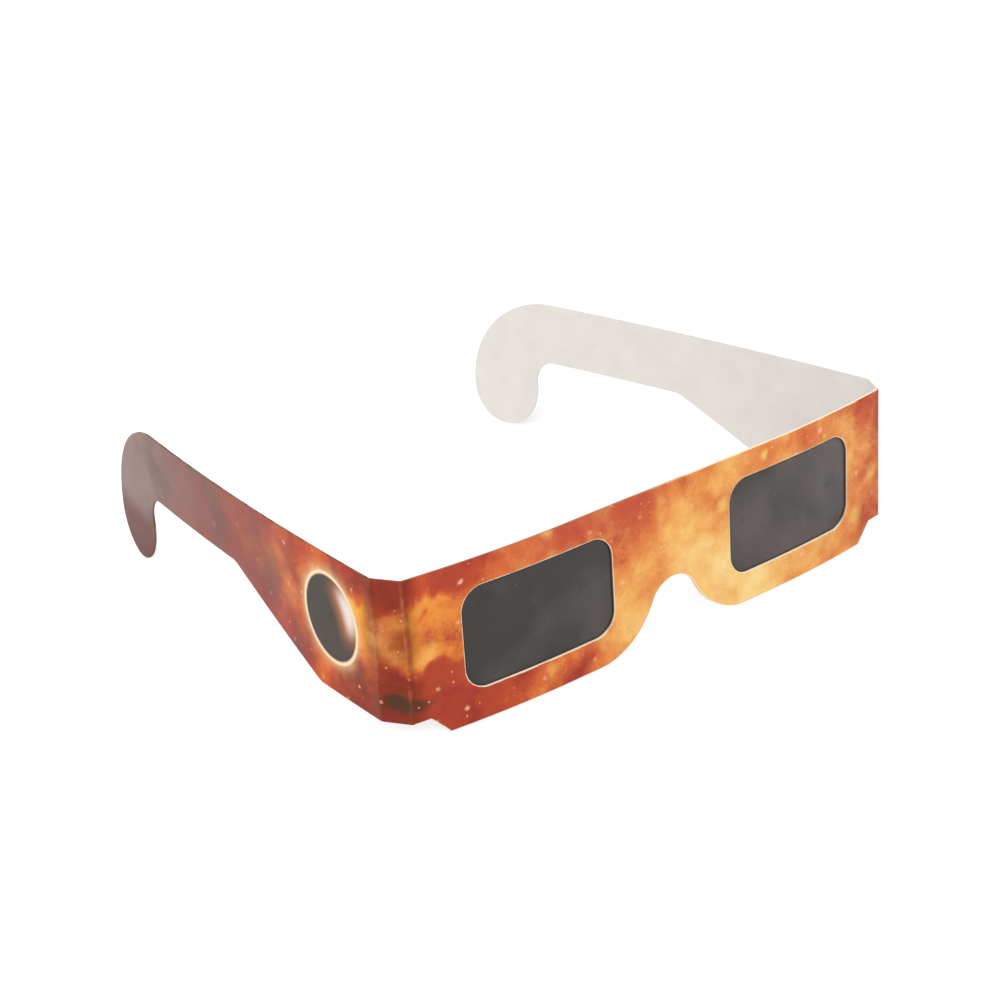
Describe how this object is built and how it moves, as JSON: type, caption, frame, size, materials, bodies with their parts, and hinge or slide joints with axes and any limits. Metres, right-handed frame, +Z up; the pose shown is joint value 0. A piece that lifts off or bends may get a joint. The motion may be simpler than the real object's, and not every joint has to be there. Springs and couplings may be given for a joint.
{
  "type": "paper viewing glasses",
  "caption": "Folded card viewing glasses with two dark rectangular filter windows, a nose cut, creased corner strips and flat temples with ear hooks.",
  "frame": {"origin": "on the surface that the glasses stand on, under the middle of the outer box, temples open", "axes": "+X towards the wearer's left, +Y from the front panel back along the temples, +Z up"},
  "size_m": [0.143, 0.1326, 0.0354],
  "materials": {
    "printed_card": "satin",
    "white_card": "matte",
    "filter_film": "satin",
    "adhesive": "matte"
  },
  "bodies": {
    "front": {"front_card": "printed_card", "back_card": "white_card", "adhesive_layer": "adhesive", "left_bottom_fold": "printed_card", "right_bottom_fold": "printed_card", "left_filter_film": "filter_film", "right_filter_film": "filter_film", "left_front_crease": "printed_card", "right_front_crease": "printed_card"},
    "left_corner": {"left_corner_strip": "printed_card", "left_temple_crease": "printed_card"},
    "left_side": {"left_temple": "printed_card"},
    "right_corner": {"right_corner_strip": "printed_card", "right_temple_crease": "printed_card"},
    "right_side": {"right_temple": "printed_card"}
  },
  "joints": [
    {"name": "left_front_fold", "type": "hinge", "parent": "front", "child": "left_corner", "pos_m": [0.068, -0.06285, 0.01985], "axis": [0, 0, 1], "range_deg": [-50.8, 30]},
    {"name": "left_temple_fold", "type": "hinge", "parent": "left_corner", "child": "left_side", "pos_m": [0.07125, -0.05722, 0.01985], "axis": [0, 0, 1], "range_deg": [-33.6, 50.8]},
    {"name": "right_front_fold", "type": "hinge", "parent": "front", "child": "right_corner", "pos_m": [-0.068, -0.06285, 0.01985], "axis": [0, 0, -1], "range_deg": [-50.8, 30]},
    {"name": "right_temple_fold", "type": "hinge", "parent": "right_corner", "child": "right_side", "pos_m": [-0.07125, -0.05722, 0.01985], "axis": [0, 0, -1], "range_deg": [-33.6, 54.8]}
  ]
}
